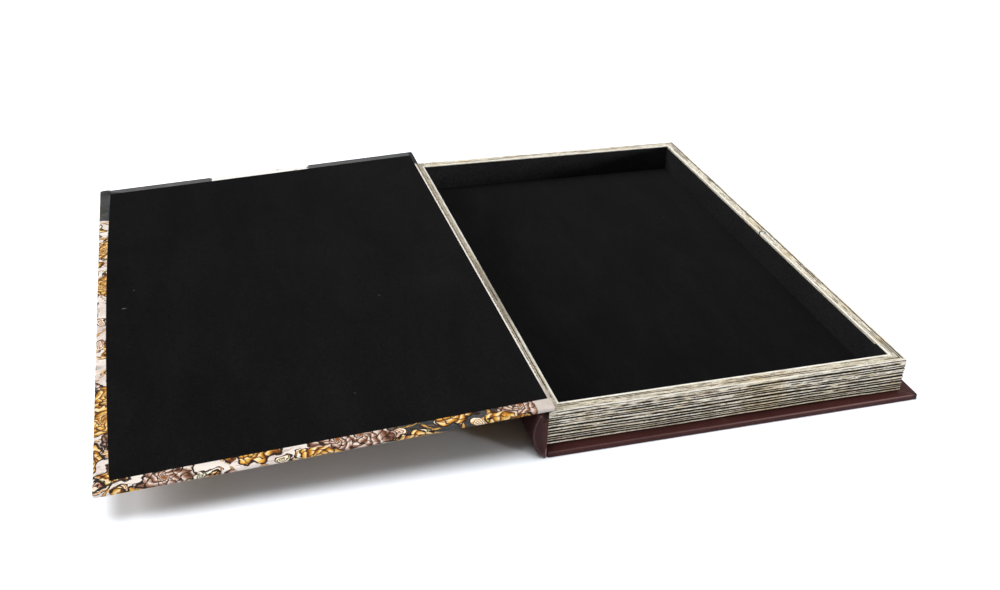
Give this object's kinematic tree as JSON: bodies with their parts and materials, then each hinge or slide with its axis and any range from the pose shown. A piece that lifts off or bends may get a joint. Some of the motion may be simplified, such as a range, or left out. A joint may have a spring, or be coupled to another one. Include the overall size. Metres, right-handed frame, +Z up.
{
  "type": "book box",
  "caption": "Shallow velvet-lined storage box made as a book, with grooved page-edge walls, a rounded spine and a lid on a cloth hinge.",
  "frame": {"origin": "on the table, on the back cover's underside, under the middle of the page block", "axes": "+X from the spine to the fore-edge, +Y from the tail of the book to its head, +Z up"},
  "size_m": [0.5251, 0.3985, 0.0365],
  "materials": {
    "page_edges": "cream paint, rubbed dark in the grooves",
    "leather": "maroon leatherette, low sheen",
    "velvet": "black velvet",
    "greyboard": "bare board",
    "wood": "bare fibreboard",
    "canvas": "printed cotton canvas",
    "hinge_cloth": "dark binding cloth",
    "steel": "plated"
  },
  "bodies": {
    "base": {"back_board": "greyboard", "back_leather": "leather", "front_wall": "page_edges", "rear_wall": "page_edges", "fore_edge_wall": "page_edges", "spine_wall": "page_edges", "rim_magnet": "steel", "tray_floor": "wood", "floor_lining": "velvet", "front_lining": "velvet", "rear_lining": "velvet", "spine_lining": "velvet", "fore_edge_lining": "velvet", "tail_cap": "leather", "head_cap": "leather", "spine_core": "wood", "spine_leather": "leather", "joint_strip": "greyboard", "hinge_cloth": "hinge_cloth"},
    "lid": {"lid_board": "greyboard", "lid_canvas": "canvas", "lid_lining": "velvet", "lid_plate": "steel"}
  },
  "joints": [
    {"name": "lid_hinge", "type": "hinge", "parent": "base", "child": "lid", "pos_m": [-0.12784, 0, 0.0329], "axis": [0, 1, 0], "range_deg": [0, 182.9]}
  ]
}
